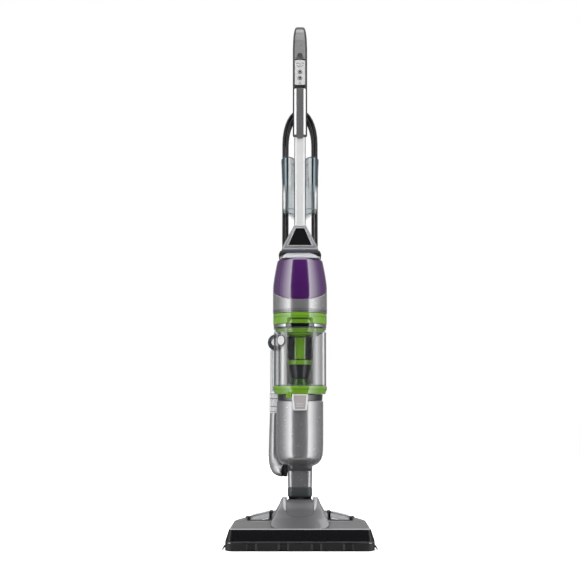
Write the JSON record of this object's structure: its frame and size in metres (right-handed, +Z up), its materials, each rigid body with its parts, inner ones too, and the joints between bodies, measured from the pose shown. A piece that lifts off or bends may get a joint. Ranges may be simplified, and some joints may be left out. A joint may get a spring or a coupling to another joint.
{
  "type": "upright carpet cleaner machine",
  "caption": "Slim upright vacuum and steam cleaner for carpets and hard floors: wide flat foot, clear cyclone dirt cup, round motor hood, clear water tank, wound cord and loop handle.",
  "frame": {"origin": "on the sole at floor level, on the centre plane, under the dirt cup's axis", "axes": "+Z up along the body; the machine faces -Y; the suction duct is on the -X side"},
  "size_m": [0.3282, 0.2219, 1.168],
  "materials": {
    "foot_grey": "satin",
    "body_grey": "satin",
    "black_plastic": "matt",
    "dark_plastic": "matt",
    "gloss_black": "gloss",
    "silver_trim": "satin",
    "purple": "gloss",
    "green": "gloss",
    "rubber": "matt",
    "smoke_clear": "gloss",
    "clear": "gloss",
    "teal_clear": "gloss",
    "foam": "matt",
    "motor_metal": "machined",
    "pole_metal": "satin",
    "axle_steel": "machined",
    "charcoal": "satin"
  },
  "bodies": {
    "foot": {"sole_plate": "black_plastic", "foot_cover": "foot_grey", "front_panel": "gloss_black", "trim_strip": "silver_trim", "bumper_lip": "rubber", "left_corner_bristle": "rubber", "right_corner_bristle": "rubber", "suction_funnel": "dark_plastic", "wheel_axle": "axle_steel"},
    "left_pedal": {"left_pedal": "smoke_clear"},
    "right_pedal": {"right_pedal": "smoke_clear"},
    "left_wheel": {"left_wheel": "black_plastic"},
    "right_wheel": {"right_wheel": "black_plastic"},
    "pivot": {"pivot_barrel": "dark_plastic"},
    "upright": {"swivel_collar": "dark_plastic", "neck": "body_grey", "lower_front_shell": "body_grey", "lower_rear_shell": "body_grey", "boiler": "motor_metal", "pump": "dark_plastic", "water_hose": "clear", "deck": "black_plastic", "rear_spine": "body_grey", "duct_seal": "rubber", "side_duct": "body_grey", "riser_cuff": "clear", "riser_tube": "clear", "inlet_seal": "rubber", "motor_housing": "body_grey", "motor_hood": "purple", "suction_motor": "motor_metal", "trim_ring": "silver_trim", "shoulder_cap": "black_plastic", "yoke_cover": "body_grey", "badge_plate": "gloss_black", "pole": "pole_metal", "tank_dock": "dark_plastic", "handle_sleeve": "body_grey", "handle_grip": "charcoal", "control_panel": "silver_trim", "handle_cover": "body_grey", "cord_strain_relief": "rubber", "cord_lead": "rubber", "cord_winding": "rubber", "plug": "rubber"},
    "cup_latch": {"cup_latch": "silver_trim"},
    "dirt_cup": {"cup_wall": "clear", "cup_collar": "green", "cup_gasket": "black_plastic", "pre_motor_filter": "foam", "cyclone_cap": "green", "cyclone_cone": "dark_plastic", "cyclone_ring": "green", "bottom_door": "green"},
    "motor_rotor": {"motor_rotor": "motor_metal"},
    "water_tank": {"water_tank": "teal_clear"},
    "tank_cap": {"tank_cap": "dark_plastic"},
    "upper_cord_hook": {"upper_cord_hook": "black_plastic"},
    "vacuum_button": {"vacuum_button": "dark_plastic"},
    "steam_button": {"steam_button": "dark_plastic"}
  },
  "joints": [
    {"name": "recline", "type": "hinge", "parent": "foot", "child": "pivot", "pos_m": [0, 0.034, 0.058], "axis": [-1, 0, 0], "range_deg": [0, 65]},
    {"name": "neck_swivel", "type": "hinge", "parent": "pivot", "child": "upright", "pos_m": [0, 0.034, 0.11], "axis": [0, 0, 1], "range_deg": [-45, 45]},
    {"name": "left_pedal_tip", "type": "hinge", "parent": "foot", "child": "left_pedal", "pos_m": [-0.0875, -0.008, 0.063], "axis": [0.9734, 0, 0.2291], "range_deg": [0, 8], "stiffness_Nm_per_rad": 2, "springref_deg": -11.46},
    {"name": "right_pedal_tip", "type": "hinge", "parent": "foot", "child": "right_pedal", "pos_m": [0.0875, -0.008, 0.063], "axis": [0.9734, 0, -0.2291], "range_deg": [0, 8], "stiffness_Nm_per_rad": 2, "springref_deg": -11.46},
    {"name": "left_wheel_spin", "type": "hinge", "parent": "foot", "child": "left_wheel", "pos_m": [-0.052, 0.058, 0.014], "axis": [1, 0, 0], "continuous": true},
    {"name": "right_wheel_spin", "type": "hinge", "parent": "foot", "child": "right_wheel", "pos_m": [0.052, 0.058, 0.014], "axis": [1, 0, 0], "continuous": true},
    {"name": "cup_latch_slide", "type": "slide", "parent": "upright", "child": "cup_latch", "axis": [0, 0, -1], "range_m": [0, 0.005], "stiffness_N_per_m": 400, "springref_m": -0.003},
    {"name": "dirt_cup_slide", "type": "slide", "parent": "upright", "child": "dirt_cup", "axis": [0, -1, 0], "range_m": [0, 0.13]},
    {"name": "rotor_spin", "type": "hinge", "parent": "upright", "child": "motor_rotor", "pos_m": [0, 0, 0.57], "axis": [0, 0, 1], "continuous": true},
    {"name": "water_tank_lift", "type": "slide", "parent": "upright", "child": "water_tank", "axis": [0, 0, 1], "range_m": [0, 0.036]},
    {"name": "tank_cap_turn", "type": "hinge", "parent": "water_tank", "child": "tank_cap", "pos_m": [0, 0.024, 0.72], "axis": [0, 0, 1], "range_deg": [0, 90]},
    {"name": "cord_hook_turn", "type": "hinge", "parent": "upright", "child": "upper_cord_hook", "pos_m": [0, 0.05, 0.9654], "axis": [0, 1, 0], "range_deg": [0, 180]},
    {"name": "vacuum_button_press", "type": "slide", "parent": "upright", "child": "vacuum_button", "axis": [0, 1, 0], "range_m": [0, 0.0012], "stiffness_N_per_m": 500, "springref_m": -0.001},
    {"name": "steam_button_press", "type": "slide", "parent": "upright", "child": "steam_button", "axis": [0, 1, 0], "range_m": [0, 0.0012], "stiffness_N_per_m": 500, "springref_m": -0.001}
  ]
}
